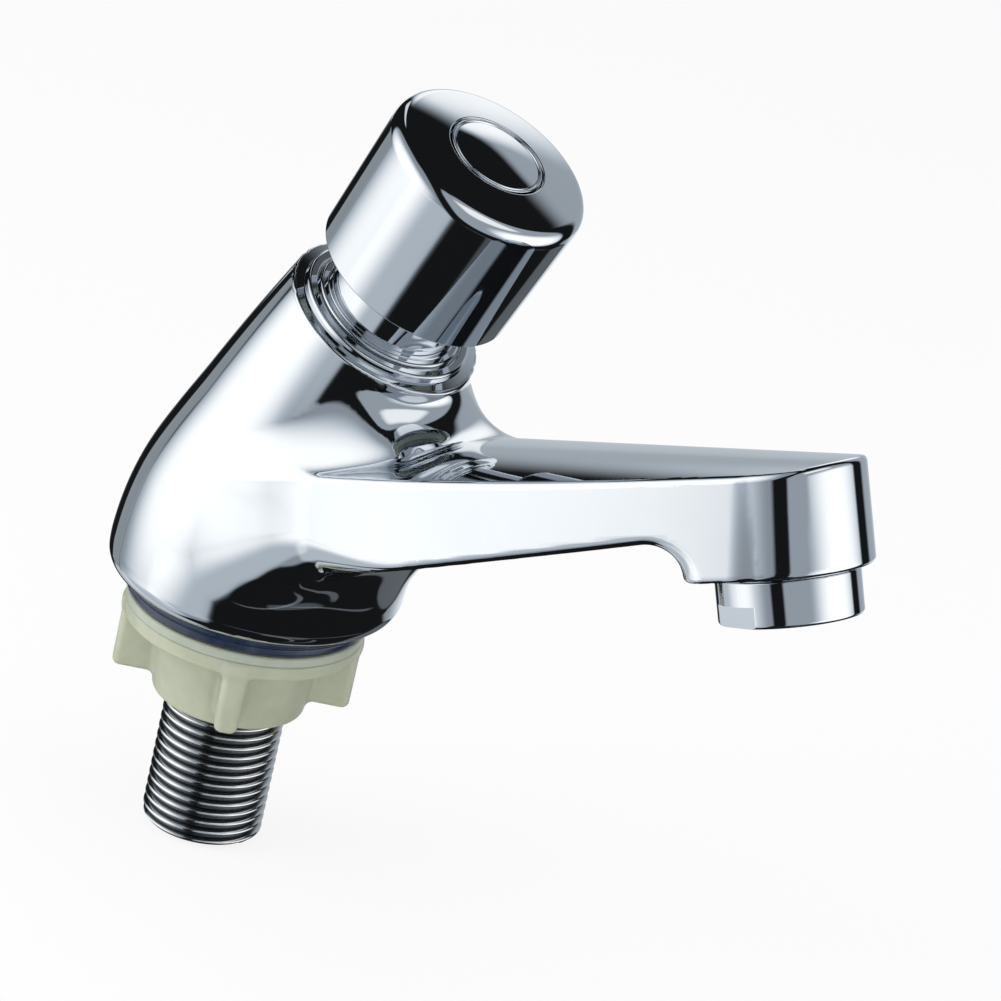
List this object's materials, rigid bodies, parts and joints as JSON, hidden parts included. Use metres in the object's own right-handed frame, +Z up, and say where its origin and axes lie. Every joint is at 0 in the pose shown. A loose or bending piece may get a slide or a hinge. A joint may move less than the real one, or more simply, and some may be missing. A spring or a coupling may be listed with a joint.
{
  "type": "push button basin tap",
  "caption": "Polished chrome self-closing basin tap: leaning push button on a rounded column, flat tapered spout, aerator, threaded inlet shank with wing nut.",
  "frame": {"origin": "middle of the deck seat, where the underside of the base gasket meets the basin, on the inlet shank's axis", "axes": "+Z up along the inlet shank's axis, +X towards the spout's outlet, +Y to the left of the spout seen from behind the tap"},
  "size_m": [0.1415, 0.0508, 0.1407],
  "materials": {
    "chrome": "polished",
    "brass": "machined",
    "stainless": "satin",
    "ivory_plastic": "satin",
    "white_plastic": "satin",
    "black_rubber": "matt",
    "blue_rubber": "glossy"
  },
  "bodies": {
    "tap": {"body": "chrome", "inlet_shank": "chrome", "base_gasket": "blue_rubber", "inlet_filter": "stainless", "cartridge_gasket": "black_rubber", "cartridge_sleeve": "brass", "rod_seal": "black_rubber", "return_spring": "stainless", "trim_ring": "chrome", "bonnet": "chrome", "bonnet_seal": "black_rubber", "spindle_seal": "black_rubber", "gland_nut": "brass", "aerator_housing": "chrome", "aerator_washer": "black_rubber", "flow_straightener": "white_plastic", "aerator_screens": "stainless", "jet_plate": "white_plastic"},
    "button": {"spindle": "brass", "valve_disc": "brass", "valve_washer": "black_rubber", "valve_nut": "stainless", "piston": "white_plastic", "piston_seal": "black_rubber", "bleed_pin": "stainless", "piston_clip": "stainless", "button_cap": "chrome", "cap_screw": "stainless", "index_disc": "chrome", "guide_bush": "white_plastic"},
    "washer": {"slip_washer": "ivory_plastic"},
    "nut": {"wing_nut": "ivory_plastic"}
  },
  "joints": [
    {"name": "button_press", "type": "slide", "parent": "tap", "child": "button", "axis": [-0.4067, 0, -0.9135], "range_m": [0, 0.006], "stiffness_N_per_m": 1500, "springref_m": -0.004, "deforming": ["return_spring"]},
    {"name": "washer_slide", "type": "slide", "parent": "tap", "child": "washer", "axis": [0, 0, -1], "range_m": [0, 0.023]},
    {"name": "nut_turn", "type": "hinge", "parent": "washer", "child": "nut", "pos_m": [0, 0, 0], "axis": [0, 0, -1], "range_deg": [0, 4564]}
  ],
  "couplings": [
    {"joint": "washer_slide", "follows": "nut_turn", "m_per_rad": 0.00028871}
  ]
}
